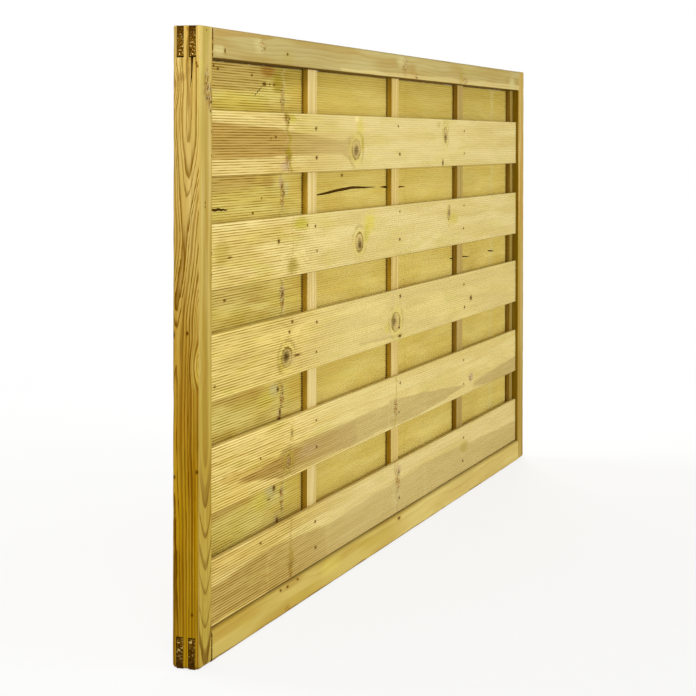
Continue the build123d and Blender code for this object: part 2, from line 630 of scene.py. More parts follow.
def prism(shape, outline, axis, near, far):  # an outline pushed along an axis, added to a bmesh
    order = {"x": lambda a, b, t: (t, a, b), "y": lambda a, b, t: (a, t, b)}[axis]
    rings = [[shape.verts.new(order(a, b, t)) for a, b in outline] for t in (near, far)]
    shape.faces.new(rings[0])
    shape.faces.new(rings[1][::-1])
    for count in range(len(outline)):
        after = (count + 1) % len(outline)
        shape.faces.new((rings[0][count], rings[1][count], rings[1][after], rings[0][after]))


def meshOf(shape, name):
    bmesh.ops.recalc_face_normals(shape, faces=shape.faces)
    mesh = bpy.data.meshes.new(name)
    shape.to_mesh(mesh)
    shape.free()
    return mesh


def cutAway(piece, outlines, axis, near, far):  # cuts outlines into the piece, with painted shade inside them as dark brown wood
    shape = bmesh.new()
    for outline in outlines:
        prism(shape, outline, axis, near, far)
    cutter = linkMesh("cutter", meshOf(shape, "cutter"))
    cutter.data.materials.append(cutShadeMaterial)
    modifier = piece.modifiers.new("cut", "BOOLEAN")
    modifier.operation = "DIFFERENCE"
    modifier.solver = "EXACT"
    modifier.material_mode = "TRANSFER"
    modifier.object = cutter
    mesh = plainMesh(piece)
    piece.modifiers.clear()
    piece.data = mesh
    bpy.data.objects.remove(cutter)
    mesh.set_sharp_from_angle(angle=math.radians(sharpAngle))


def splitOutline(path, seed):  # a slit that is widest inside and runs out at both ends
    (startA, startB), (endA, endB), width, bow = path
    steps = 18
    upper, lower = [], []
    for count in range(steps + 1):
        t = count / steps
        wide = width * math.sin(math.pi * t ** 0.75) ** 0.7 / 2 if 0 < t < 1 else 0.0
        wobble = noise.noise(Vector((t * 9, seed, 0.5))) * width * 0.3
        a = startA + (endA - startA) * t
        b = startB + (endB - startB) * t + bow * 4 * t * (1 - t) + wobble
        upper.append((a, b + wide))
        if 0 < count < steps:
            lower.append((a, b - wide))
    return upper + lower[::-1]


# painted shade inside splits and slots: a dark brown wood
cutShadeLook = woodLook(3, pale=tone(112, 74, 10), warm=tone(84, 54, 2), tint=tone(70, 44, 0))
cutShadeMaterial = woodMaterial("cutShadeWood", (0, 0, 0), "x", cutShadeLook)


# Nail places

nailShape = {
    "head": 3.2,
    "dome": 0.5,
    "tilt": 0.10,
    "sizes": (0.85, 1.12),  # the smallest and largest head, as shares of the usual one
    "spin": 3.14,  # radians that a head may be turned by, either way
    "sharpAngle": 60,
    "segments": 12,
    "rings": 6,
    "fromMiddle": 24.0,
    "endInset": 12.0,
    "slip": (12, 8),  # how far a nail on the back may sit from its place, along the board and up it
    "bruise": (4.4, 2.7, 2.0),
}
battenNodes = ["left_batten", "inner_batten_1", "inner_batten_2", "inner_batten_3", "right_batten"]
# how far each front nail sits from its batten's middle line and the board's middle, in mm,
# two at each batten, from the left
frontNails = {
    "front_board_5": [(-4, 24, -1, -24), (-5, 31, 4, -21), (4, 25, 4, -22)],
    "front_board_4": [(-6, 27, 1, -14), (5, 35, 5, -17), (3, 32, 0, -16)],
    "front_board_3": [(1, 27, -1, -22), (8, 34, 2, -24), (4, 24, 9, -24)],
    "front_board_2": [(-1, 26, 1, -18), (9, 32, 2, -22), (3, 26, 4, -24)],
    "front_board_1": [(-5, 21, -3, -22), (2, 26, 4, -22), (3, 24, -2, -24)],
}


def nailPlaces(board):  # along the board and up it, in mm from its low corner
    low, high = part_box(board)
    half, long = (high.z - low.z) / mm / 2, (high.x - low.x) / mm
    middles = [(sum(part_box(name), Vector()).x / 2 - low.x) / mm for name in battenNodes[1:4]]
    places = []
    if board in frontNails:  # the photo shows none at a front board's ends
        for x, (upperX, upper, lowerX, lower) in zip(middles, frontNails[board]):
            places += [(x + upperX, half + upper), (x + lowerX, half + lower)]
        return places
    for x in (nailShape["endInset"], long - nailShape["endInset"]):
        places += [(x, half + side * nailShape["fromMiddle"]) for side in (-1, 1)]
    slipAlong, slipUp = nailShape["slip"]
    for count, x in enumerate(middles):
        for side in (-1, 1):
            spot = Vector((int(board[-1]) * 3.1, count * 1.7, side * 2.3))
            up = half + side * nailShape["fromMiddle"] + noise.noise(spot * 1.9) * slipUp
            places.append((x + noise.noise(spot) * slipAlong, up))
    return places


# Boards, all ribbed on the side that looks to the front

boardShape = {
    "ribs": 24,
    "grooves": {"Groove Width": 1.6, "Groove Depth": 1.0, "Edge Round": 1.0, "Fibre Rise": 0.12},  # mm
    "grooveBends": ((0.84, 0.32), (1.24, 0.06)),  # shares of half a groove's width, and of its depth
    "step": 9.0,  # mm between the cross cuts
    "fade": 0.55,  # how much shallower the grooves get in places
    "wornScale": (7, 60),  # along and up
    "fibreScale": (40, 500),
    "footShade": 0.6,
    "splitDepth": 5.0,
}


def boardOutline(desk, size):  # a point's depth and height by its number, six a rib and nine round the back
    height, thick, ribs, edge = (size[key] for key in ("Height", "Thickness", "Ribs", "Edge Round"))
    pitch = height / ribs
    half, dip = size["Groove Width"] / 2, size["Groove Depth"]
    index = desk.node("GeometryNodeInputIndex", {}, {})
    ribPoints = ribs * 6
    part = index.maths("MODULO", index, 6)
    rib = (index / 6).maths("FLOOR", index / 6)
    # a rib runs from the middle of one groove to the next, counted down from the top edge
    (steep, steepDip), (slight, slightDip) = boardShape["grooveBends"]
    near = [0.0, half * steep, half * slight]
    down = part.choose([*near, pitch / 2, pitch - half * slight, pitch - half * steep])
    sunk = part.choose([dip, dip * steepDip, dip * slightDip, 0.0, dip * slightDip, dip * steepDip])
    behind = index - ribPoints - 1
    guard = edge + edgeGuard * mm
    roundStart, roundMiddle = thick - edge, thick - edge * 0.3
    backDepth = behind.choose([roundStart, roundMiddle, *[thick] * 5, roundMiddle, roundStart])
    nearTop = [height - guard, height - edge, height - edge * 0.3, height]
    backUp = behind.choose([0.0, edge * 0.3, edge, guard, height / 2, *nearTop])
    isBack = index.maths("GREATER_THAN", index, ribPoints + 0.5)
    depth = sunk + (backDepth - sunk) * isBack
    up = height - (rib * pitch + down)
    up = up + (backUp - up) * isBack
    place = desk.vector(0 - depth, 0 - up)
    row = desk.node("GeometryNodeMeshLine", {}, {"Count": ribPoints + 10})
    outline = desk.node("GeometryNodeSetPosition", {}, {"Geometry": row, "Position": place})
    outline = desk.node("GeometryNodeMeshToCurve", {}, {0: outline})
    return desk.node("GeometryNodeSetSplineCyclic", {}, {"Geometry": outline, "Cyclic": True})


def wornGrooves(desk, size, body):  # shallower grooves in places, and raised fibres
    position = desk.node("GeometryNodeInputPosition", {}, {})
    x, y, z = desk.node("ShaderNodeSeparateXYZ", {}, {0: position}, (0, 1, 2))
    along, up = boardShape["wornScale"]
    spot = desk.vector(x * along, size["Seed"], z * up)
    worn = desk.noiseAt(spot, 2.0)
    along, up = boardShape["fibreScale"]
    spot = desk.vector(x * along, size["Seed"] + 9, z * up)
    raised = desk.noiseAt(spot, 1.0)
    ribbed = y.maths("LESS_THAN", y, size["Groove Depth"] * 1.05)
    keep = 1 - size["Fade"] * worn.rise(0.42, 0.75)
    deeper = y * keep + raised * size["Fibre Rise"]
    moved = desk.vector(x, y + (deeper - y) * ribbed, z)
    sockets = {"Geometry": body, "Position": moved, "Offset": size["Place"]}
    return desk.node("GeometryNodeSetPosition", {}, sockets)


def ribbedBoardTree():  # the outline run along the board
    tree, size = newTree("ribbedBoard", {
        "Vector": ["Place"],
        "Float": ["Length", "Height", "Thickness", "Fade", "Seed", *boardShape["grooves"]],
        "Int": ["Ribs", "Cuts"],
        "Material": ["Material"],
    })
    desk = Wire(tree)
    outline = boardOutline(desk, size)
    end = desk.vector(size["Length"])
    run = desk.node("GeometryNodeCurvePrimitiveLine", {}, {"End": end})
    run = desk.node("GeometryNodeResampleCurve", {}, {"Curve": run, "Count": size["Cuts"]})
    sweep = {"Curve": run, "Profile Curve": outline, "Fill Caps": True}
    body = desk.node("GeometryNodeCurveToMesh", {}, sweep)
    endTree(desk, wornGrooves(desk, size, body), size["Material"])
    return tree


boardTree = ribbedBoardTree()


def bruises(board, seed, deep):  # a rusty mark at each nail
    marks = []
    for x, up in nailPlaces(board):
        share = 0.85 + 0.5 * noise.noise(Vector((x * 0.37, up, seed)))
        marks.append(((x, up, deep), tuple(each * share for each in nailShape["bruise"])))
    return marks


def makeBoard(node, look, splits):
    low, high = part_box(node)
    size = high - low
    look["ribbed"] = True
    # painted shade along the board's lowest edge
    look["foot"] = boardShape["footShade"]
    # back boards are nailed from behind
    look["pits"] += bruises(node, look["seed"], size.y / mm if node in backBoards else 0.0)
    values = {
        "Place": tuple(low),
        "Length": size.x,
        "Height": size.z,
        "Thickness": size.y,
        "Ribs": boardShape["ribs"],
        "Cuts": round(size.x / mm / boardShape["step"]),
        "Fade": boardShape["fade"],
        "Seed": look["seed"] * 3.3,
        "Material": woodMaterial(node + "Wood", low, "x", look),
        **{name: value * mm for name, value in boardShape["grooves"].items()},
    }
    piece = linkMesh(node.replace("_", "") + "Ribbed", grow(node, boardTree, values))
    if splits:
        outlines = []
        for count, path in enumerate(splits):
            outline = splitOutline(path, look["seed"] + count)
            outlines.append([(low.x + a * mm, low.z + b * mm) for a, b in outline])
        cutAway(piece, outlines, "y", low.y - pastFace * mm, low.y + boardShape["splitDepth"] * mm)
    return keepPiece(piece, "board_wood", node)


frontBoards = {
    "front_board_5": woodLook(
        1,
        rings={"pith": (48, -36), "wide": 3.6},
        bends=[((300, 12), (60, 30), 7), ((310, 84), (60, 24), -6)],
        bands=[
            (-60, 520, (-9, -9), (110, 110), 6, "heart", 0.16),
            (-30, 300, (22, 28), (81, 69), 2.0, "heart", 0.95),
            (-60, 590, (22, 32), (81, 49), 2.0, "brown", 0.3),
            (300, 600, (28, 30), (68, 48), 2.5, "heart", 0.9),
            (556, 606, (26, 14), (50, 64), 3, "heart", 0.9),
        ],
        knots=[((619, 36), (22, 18), 0.9, (0, -0.1)), ((1152, 63), (13, 16), 0.9, (0, -0.3))],
        stains=[
            ((1158, 65), (14, 15), "greyPink", 0.7), ((296, 87), (16, 11), "brown", 0.6),
            ((290, 12), (24, 11), "greyPink", 0.8), ((652, 46), (9, 17), "olive", 0.8),
            ((640, 76), (24, 20), "lime", 0.7), ((622, 89), (14, 6), "cream", 0.8),
            ((318, 86), (22, 10), "mossy", 0.6), ((306, 30), (16, 14), "olive", 0.8),
            ((1106, 83), (12, 8), "olive", 0.4),
        ],
        threads=[(312, 300, 6, "olive", 0.6), (300, 296, 2.5, "dark", 0.35)],
        burrs=[((300, 84), (12, 10), 1.0), ((302, 20), (14, 14), 0.6)],
        pits=[((251, 57), (4, 2.2)), ((1134, 7), (5, 6)), ((232, 55), (2, 2))],
    ),
    "front_board_4": woodLook(
        2,
        rings={"pith": (30, -44), "wide": 4.0},
        bends=[((330, 16), (70, 34), 8), ((350, 84), (60, 26), -7)],
        knots=[((636, 37), (20, 17), 0.95, (0.1, -0.25)), ((1176, 68), (9, 15), 0.8, (0.2, 0))],
        stains=[
            ((361, 82), (38, 12), "mossy", 0.75), ((323, 16), (28, 16), "olive", 0.65),
            ((690, 70), (38, 22), "lime", 0.95), ((672, 50), (20, 16), "mossy", 0.6),
            ((1210, 56), (36, 16), "mossy", 0.5), ((1180, 72), (12, 15), "greyPink", 0.7),
            ((48, 52), (30, 26), "olive", 0.4),
        ],
        threads=[(318, 322, 2, "brown", 0.35)],
        pits=[((264, 58), (4.5, 4)), ((386, 78), (3, 2)), ((76, 44), (8, 1.6))],
    ),
    "front_board_3": woodLook(
        4,
        pale=tone(232, 210, 128),
        rings={"pith": (58, -40), "wide": 3.8},
        bands=[(640, 880, (13, 6), (18, 12), 1.6, "heart", 0.7)],
        knots=[((298, 31), (22, 16), 1.0, (-0.1, 0.1)), ((838, 36), (24, 18), 0.9, (-0.5, 0.1))],
        bends=[((318, 70), (60, 30), 6)],
        stains=[
            ((322, 27), (14, 14), "greyPink", 0.6), ((275, 22), (14, 20), "olive", 0.5),
            ((790, 30), (20, 14), "lime", 0.5),
        ],
        threads=[(800, 820, 7, "greyPink", 0.25)],
        pits=[((343, 30), (14, 1.6)), ((309, 70), (4, 2.6)), ((321, 85), (4.5, 3)),
              ((862, 7), (9, 3)), ((1340, 39), (8, 5)), ((24, 20), (3, 2))],
    ),
    "front_board_2": woodLook(
        5,
        pale=tone(236, 215, 139),
        warm=tone(223, 198, 112),
        rings={"pith": (40, -38), "wide": 3.5, "dark": 0.5},
        bands=[
            (110, 285, (30, 4), (31, 40), 2.0, "heart", 0.9),
            (275, 800, (4, 6), (49, 50), 2.0, "heart", 0.85),
            (110, 620, (24, 4), (31, 48), 2.0, "brown", 0.42),
            (800, 1020, (4, 4), (55, 42), 2.0, "heart", 0.85),
            (1020, 1300, (4, 18), (42, 20), 1.5, "heart", 0.95),
            (1360, 1760, (8, -14), (20, 36), 2.5, "heart", 1.0),
        ],
        stains=[
            ((305, 26), (30, 18), "olive", 0.5), ((838, 36), (24, 26), "greyGreen", 0.5),
            ((1341, 31), (20, 12), "greyPink", 0.7), ((400, 30), (60, 12), "greyPink", 0.35),
        ],
        knots=[((305, 27), (10, 11), 0.8, (0.2, -0.1)), ((321, 69), (5, 7), 0.7, (0, 0))],
        threads=[(300, 322, 4, "brown", 0.12), (836, 842, 5, "olive", 0.4)],
        burrs=[((306, 28), (15, 17), 0.6), ((838, 36), (14, 18), 0.8), ((1341, 31), (18, 8), 0.8)],
        pits=[((193, 50), (3, 2))],
    ),
    "front_board_1": woodLook(
        6,
        pale=tone(230, 208, 136),
        warm=tone(218, 192, 110),
        rings={"pith": (52, -42), "wide": 3.6, "dark": 0.5},
        bands=[
            (-30, 220, (4, 4), (52, 68), 2.0, "heart", 0.9),
            (220, 480, (-4, -4), (68, 52), 2.0, "heart", 0.9),
            (480, 1020, (-6, -6), (52, 63), 2.5, "heart", 0.8),
            (1020, 1760, (-6, -6), (63, 44), 2.5, "heart", 0.8),
        ],
        stains=[
            ((316, 24), (12, 30), "olive", 0.6), ((842, 30), (30, 34), "greyGreen", 0.5),
            ((1290, 52), (34, 14), "olive", 0.5), ((860, 80), (14, 8), "greyPink", 0.6),
        ],
        threads=[(313, 320, 5, "brown", 0.3), (850, 842, 6, "brown", 0.35)],
        burrs=[((316, 16), (12, 20), 0.9), ((850, 62), (16, 28), 0.7)],
        pits=[((193, 82), (4, 2))],
    ),
}
backTones = {
    "pale": tone(217, 201, 117),
    "warm": tone(206, 184, 93),
    "tint": tone(204, 190, 92),
    "patch": (190, 34, 34),
    "far": tone(204, 177, 84),
}
whorlMarks = [  # the whorls of branches that all the back boards share
    (322, 330, 7, "greyGreen", 0.35),
    (318, 326, 2.5, "olive", 0.5),
    (944, 952, 2.0, "olive", 0.5),
    (1560, 1570, 16, "greyGreen", 0.3),
]
whorlBurr = ((324, 44), (10, 26), 0.8)
bayPaintedShade = [  # painted warm shade in each bay
    ((382, 52), (40, 30), "gold", 0.3),
    ((530, 44), (90, 60), "gold", 0.12),
    ((960, 44), (90, 60), "gold", 0.12),
    ((1390, 44), (80, 60), "oliveGold", 0.15),
]
# painted shade on each back board's upper part, under the board in front
upperPaintedShade = (360, 1900, (50, 42), (130, 130), 14, "oliveGold", 0.3)


def backLook(seed, bands, stains, pits):
    return woodLook(
        seed,
        **backTones,
        bands=[upperPaintedShade, *bands],
        stains=[*bayPaintedShade, *stains],
        threads=whorlMarks,
        burrs=[whorlBurr],
        pits=pits,
    )


backBoards = {
    "back_board_5": backLook(
        11,
        bands=[
            (-30, 240, (50, 56), (98, 98), 5, "heart", 0.8),
            # painted shade under the top rail, and towards the right end
            (240, 1900, (72, 66), (130, 130), 10, "oliveGold", 0.7),
            (850, 1900, (10, 10), (130, 130), 40, "oliveGold", 0.4),
        ],
        stains=[
            ((264, 88), (36, 15), "brown", 0.9), ((302, 70), (24, 18), "olive", 0.7),
            ((150, 30), (120, 24), "lime", 0.5),
        ],
        pits=[((250, 67), (8, 3.4)), ((272, 67), (3, 2)), ((290, 67), (4, 2.2)),
              ((75, 84), (4, 2)), ((60, 88), (3, 2)), ((201, 79), (4, 2)), ((888, 70), (5, 7))],
    ),
    "back_board_4": backLook(
        12,
        bands=[
            (-30, 220, (50, 62), (98, 98), 6, "heart", 0.7),
            # painted shade, faint, over the upper part from the first batten on
            (360, 1900, (20, 20), (130, 130), 40, "oliveGold", 0.12),
        ],
        stains=[
            ((265, 70), (34, 12), "brown", 0.45), ((342, 56), (12, 14), "greyGreen", 0.8),
            ((318, 66), (10, 14), "greyPink", 0.8),
        ],
        pits=[((323, 60), (4, 5)), ((332, 49), (3, 4)), ((598, 73), (5, 3)),
              ((240, 44), (3, 1.6)), ((205, 22), (4, 2))],
    ),
    "back_board_3": backLook(
        13,
        bands=[(-30, 260, (52, 46), (98, 98), 7, "heart", 0.35)],
        stains=[
            ((218, 50), (44, 8), "brown", 0.25), ((326, 52), (16, 16), "greyPink", 0.5),
            ((330, 26), (12, 14), "cream", 0.4),
        ],
        pits=[((326, 49), (5, 4)), ((328, 35), (3, 5)), ((900, 50), (4, 9)), ((100, 58), (6, 2))],
    ),
    "back_board_2": backLook(
        14,
        bands=[(-30, 250, (62, 60), (98, 98), 6, "brown", 0.4)],
        stains=[
            ((290, 60), (24, 16), "greyGreen", 0.95), ((258, 48), (40, 16), "lime", 0.8),
            ((312, 16), (12, 12), "greyPink", 0.6),
        ],
        pits=[((307, 59), (5, 4)), ((328, 50), (3, 3)), ((316, 22), (4, 7)),
              ((312, 12), (7, 3)), ((884, 34), (5, 6))],
    ),
    "back_board_1": backLook(
        15,
        bands=[(-30, 200, (56, 62), (98, 98), 5, "brown", 0.55)],
        stains=[
            ((276, 64), (30, 18), "greyGreen", 0.9), ((238, 54), (40, 18), "lime", 0.8),
            ((300, 14), (14, 14), "greyPink", 0.6),
        ],
        pits=[((292, 66), (6, 5)), ((270, 52), (7, 1.4)), ((304, 13), (5, 6)),
              ((320, 54), (4, 4)), ((872, 34), (6, 8))],
    ),
}
boardSplits = {  # start, end, width and bow of each, in mm
    "back_board_5": [((208, 46), (246, 66), 1.6, 0)],
    "back_board_4": [
        ((40, 32.5), (112, 30.5), 4.2, 0.4),
        ((466, 41), (780, 48.5), 5.0, 4.5),
        ((800, 47), (952, 45), 4.4, 0.4),
    ],
    "back_board_3": [((1240, 49), (1400, 45), 3.6, 0.6), ((1536, 48), (1590, 45), 3.0, 0.4)],
}
for node, look in {**frontBoards, **backBoards}.items():
    makeBoard(node, look, boardSplits.get(node, ()))
print("boards: ten ribbed boards made")


# Bars: stiles, rails and battens, rounded along their length and worn at their corners

barShape = {
    "arcSteps": 5,
    "endSteps": (0.0, 0.06, 0.25, 0.6, 1.0),  # shares of an end's rounding where it is cut across
    "leastRound": 0.8,
    "dips": 0.25,  # mm that the faces dip
}


def barSection(wide, deep, rounding):
    # points round the middle, each with its outward direction and its corner's number, if it is on one
    points = []
    halves = (wide / 2, deep / 2)
    steps = barShape["arcSteps"]
    for corner in range(4):
        signA = 1 if corner in (0, 3) else -1
        signB = 1 if corner in (0, 1) else -1
        middle = (signA * (halves[0] - rounding), signB * (halves[1] - rounding))
        for step in range(steps + 1):
            angle = math.radians(90 * (corner + step / steps))
            way = (math.cos(angle), math.sin(angle))
            points.append((middle[0] + rounding * way[0], middle[1] + rounding * way[1], way, corner))
        length = (wide if corner % 2 == 0 else deep) - 2 * rounding
        guard = edgeGuard * mm / length
        start, way = points[-1], points[-1][2]
        for share in (guard, 0.25, 0.5, 0.75, 1 - guard):
            place = (start[0] - way[1] * share * length, start[1] + way[0] * share * length)
            points.append((*place, way, None))
    return points


def barStations(length, ends, step):  # places of the cross cuts, close together where an end is rounded
    edges = [[radius * share for share in barShape["endSteps"]] if radius else [0.0] for radius in ends]
    plain = length - sum(ends)
    cuts = max(2, round(plain / step))
    inner = [ends[0] + plain * count / cuts for count in range(1, cuts)]
    return edges[0] + inner + [length - place for place in edges[1][::-1]]


def drawnIn(station, length, ends):  # how far a rounded end draws the outline in here
    drawn = 0.0
    for radius, place in zip(ends, (station, length - station)):
        if place < radius:
            drawn = radius - math.sqrt(radius ** 2 - (radius - place) ** 2)
    return drawn


def addBar(shape, axis, low, high, bar, seed):
    run, first, second = {"z": (2, 0, 1), "x": (0, 1, 2)}[axis]
    size, middle = high - low, (high + low) / 2
    rounding, step, wear = (bar[key] * mm for key in ("rounding", "step", "wear"))
    ends = [end * mm for end in bar["ends"]]
    rings = []
    for station in barStations(size[run], ends, step):
        drawn = drawnIn(station, size[run], ends)
        radius = max(rounding - drawn, barShape["leastRound"] * mm)
        ring = []
        for a, b, way, corner in barSection(size[first] - 2 * drawn, size[second] - 2 * drawn, radius):
            dip = noise.noise(Vector((station * 14, seed * 5.3 + a * 30, b * 30)))
            inset = abs(dip) * barShape["dips"] * mm
            if corner is not None:
                inset += max(0.0, noise.noise(Vector((station * 45, seed + corner * 7.7, 0.3)))) * wear
            place = Vector()
            place[run] = low[run] + station
            place[first] = middle[first] + a - way[0] * inset
            place[second] = middle[second] + b - way[1] * inset
            ring.append(shape.verts.new(place))
        rings.append(ring)
    shape.faces.new(rings[0])
    shape.faces.new(rings[-1])
    for before, after in zip(rings, rings[1:]):
        for count in range(len(before)):
            following = (count + 1) % len(before)
            shape.faces.new((before[count], before[following], after[following], after[count]))


def barPiece(shape, node, run, look):  # a bar's mesh and wood, before any cuts
    piece = linkMesh(node.replace("_", "") + "Bar", meshOf(shape, node))
    piece.data.materials.append(woodMaterial(node + "Wood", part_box(node)[0], run, look))
    return piece


stileShape = {
    "rounding": 4.0,
    "ends": (6.0, 2.5),  # how round its foot and its top are
    "step": 9.0,
    "wear": 0.7,
    "splitDepth": 7.0,
}
tenonShape = {
    "middle": 9.3,  # from mid thickness to a tenon's middle
    "slotWidth": 10.8,
    "slotDepth": 44.8,
    "gap": 0.35,  # shadow gap at each cheek
    "shorter": 1.7,  # than the slot's depth
    "drop": 0.3,  # from the rail's outer edge
    "setback": 0.7,
    "grid": 0.55,
    "tear": 0.55,
    "tearScale": (900, 620),
    "edgeTear": 0.8,
}


def slotOutlines(low, high):  # the slots' outlines, two at the foot and two at the top
    half = tenonShape["slotWidth"] * mm / 2
    outlines = []
    for side in (-1, 1):
        near = side * tenonShape["middle"] * mm
        for edge, inward in ((low.z, 1), (high.z, -1)):
            floor = edge + inward * tenonShape["slotDepth"] * mm
            outer = edge - inward * pastFace * mm
            left, right = near - half, near + half
            outlines.append([(left, outer), (right, outer), (right, floor), (left, floor)])
    return outlines


def makeStile(node, look, splits):
    low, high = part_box(node)
    shape = bmesh.new()
    addBar(shape, "z", low, high, stileShape, look["seed"])
    piece = barPiece(shape, node, "z", look)
    start = low.x - pastFace * mm
    cutAway(piece, slotOutlines(low, high), "x", start, high.x + pastFace * mm)
    for split in splits:
        outline = [(low.y + a * mm, low.z + b * mm) for a, b in split]
        cutAway(piece, [outline], "x", start, low.x + stileShape["splitDepth"] * mm)
    return keepPiece(piece, "frame_wood", node)


stileTones = {
    "pale": tone(212, 182, 104),
    "warm": tone(196, 160, 72),
    "tint": tone(192, 168, 76),
    "line": (0.34, 0.22, 0.0, 1.0),
    "streaks": 0.45,
    "patch": (260, 16, 16),
    "calm": (200, 330),
}
stiles = {
    "left_stile": woodLook(
        21,
        **stileTones,
        rings={
            "pith": (-9, 38),
            "moves": [(475, 618, 0, -14.5, 0), (618, 723, 0, -6.5, 0), (585, 760, 0, 0, 13)],
            "wide": 3.8,
            "sharp": 0.45,
            "sway": 9,
            "ragged": 2.2,
            "uneven": 6,
            "dark": 1.0,
        },
        front={
            "pith": (20, -14),
            "moves": [(-60, 330, 0, 0, 86)],
            "wide": 13,
            "sway": 8,
            "ragged": 2,
            "uneven": 9,
        },
        # front face darker, and painted shade towards the bottom; painted shade on the side faces, darker
        # towards the bottom
        face=((0.80, 0.86, 0.90, 1.0), (0.88, 0.82, 0.45, 1.0), 780, 240),
        sides=((0.82, 0.64, 0.0, 1.0), 800, 200, 1.0),
        stains=[
            ((819, 0, 41), (9, 8, 9), "brown", 0.8), ((828, 0, 28), (8, 8, 9), "brown", 0.8),
            ((837, 0, 15), (7, 8, 8), "brown", 0.6), ((845, 6, 0), (12, 6, 4), "lime", 0.4),
            ((418, 0, 8), (30, 6, 7), "cream", 0.6), ((700, 0, 22), (230, 6, 60), "cream", 0.18),
            # painted shade on the rounded foot
            ((0, 20, 20), (4.6, 80, 80), "dark", 0.8),
            # painted glints: four pale spots on the inner arris, each by a dark dot
            *(((up, 42, 0), (3, 3, 3), "cream", 0.9) for up in (757, 722, 584, 554)),
        ],
        bends=[
            ((455, 0, 44), (70, 30, 24), 5),
            ((425, 0, 2), (44, 30, 20), 9),
            ((815, 0, 40), (40, 30, 22), 6),
        ],
        burrs=[((818, 25, 0), (26, 12, 5), 1.0), ((794, 36, 0), (26, 8, 5), 1.0)],
        pits=[
            ((847, 0, 5.4), (2.4, 3, 1.3)), ((842.8, 0, 4.3), (2.4, 3, 1.3)), ((470, 0, 19), (3, 3, 2)),
            ((467, 0, 40), (5, 3, 2)), ((652, 18, 0), (2, 1.6, 2)), ((646, 18, 0), (2, 1.6, 2)),
            ((277, 0, 4), (3, 2, 2)), ((268, 0, 39), (3, 2, 2)), ((77, 0, 11), (3, 2, 1.6)),
            *(((up, 41, 0), (2, 2, 2)) for up in (752, 718, 580, 550)),
            ((812, 24, 0), (3, 2, 2)), ((800, 30, 0), (4, 2, 2)), ((894, 22, 0), (1.5, 1.5, 2)),
        ],
    ),
    "right_stile": woodLook(
        22,
        **stileTones,
        rings={"pith": (20, 60), "wide": 3.8},
        # front face darker, and painted shade towards the bottom; dark painted shade on the inner side face
        face=((0.84, 0.84, 0.92, 1.0), (0.84, 0.84, 0.7, 1.0), 700, 200),
        sides=((0.36, 0.30, 0.0, 1.0), -2, -1, 1.0),
        inner=(36, 8),
    ),
}
stileSplits = {
    "left_stile": [[(10.0, 856.5), (14.0, 856.5), (13.6, 838), (14.8, 810), (12.2, 826), (11.0, 842)]],
}
for node, look in stiles.items():
    makeStile(node, look, stileSplits.get(node, ()))
print("stiles: two uprights slotted")


def addTenon(shape, low, high, outward, seed):  # a bar end whose end grain is torn
    counts = [1] + [max(2, round((high[k] - low[k]) / mm / tenonShape["grid"])) for k in (1, 2)]
    scaleY, scaleZ = tenonShape["tearScale"]
    made = {}

    def corner(*steps):
        if steps not in made:
            place = Vector(low[k] + (high[k] - low[k]) * steps[k] / counts[k] for k in range(3))
            if steps[0] == (0 if outward < 0 else 1):
                spot = Vector((place.y * scaleY, place.z * scaleZ, seed))
                torn = noise.noise(spot) * 0.6 + noise.noise(spot * 2.7) * 0.4
                if steps[1] in (0, counts[1]) or steps[2] in (0, counts[2]):
                    torn += tenonShape["edgeTear"]
                place.x -= outward * tenonShape["tear"] * mm * torn
            made[steps] = shape.verts.new(place)
        return made[steps]

    for j in range(counts[1]):
        for k in range(counts[2]):
            for i in (0, 1):
                beside = (corner(i, j, k), corner(i, j + 1, k))
                shape.faces.new((*beside, corner(i, j + 1, k + 1), corner(i, j, k + 1)))
    for j in range(counts[1]):
        for k in (0, counts[2]):
            shape.faces.new((corner(0, j, k), corner(1, j, k), corner(1, j + 1, k), corner(0, j + 1, k)))
    for k in range(counts[2]):
        for j in (0, counts[1]):
            shape.faces.new((corner(0, j, k), corner(1, j, k), corner(1, j, k + 1), corner(0, j, k + 1)))


railShape = {"rounding": 4.0, "ends": (0, 0), "step": 9.0, "wear": 0.5, "shoulder": 44.6}


def makeRail(node, look):
    low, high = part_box(node)
    shape = bmesh.new()
    shoulders = (cadLow.x + railShape["shoulder"] * mm, cadHigh.x - railShape["shoulder"] * mm)
    inner = (Vector((shoulders[0], low.y, low.z)), Vector((shoulders[1], high.y, high.z)))
    addBar(shape, "x", *inner, railShape, look["seed"])
    half = (tenonShape["slotWidth"] / 2 - tenonShape["gap"]) * mm
    tall, drop = (tenonShape["slotDepth"] - tenonShape["shorter"]) * mm, tenonShape["drop"] * mm
    bottom, top = (high.z - tall, high.z - drop) if low.z > 0 else (low.z + drop, low.z + tall)
    setback = tenonShape["setback"] * mm
    lengths = {-1: (cadLow.x + setback, shoulders[0]), 1: (shoulders[1], cadHigh.x - setback)}
    for outward, (start, end) in lengths.items():
        for side in (-1, 1):
            near = side * tenonShape["middle"] * mm
            corners = (Vector((start, near - half, bottom)), Vector((end, near + half, top)))
            addTenon(shape, *corners, outward, look["seed"] + side * 3 + outward)
    return keepPiece(barPiece(shape, node, "x", look), "frame_wood", node)


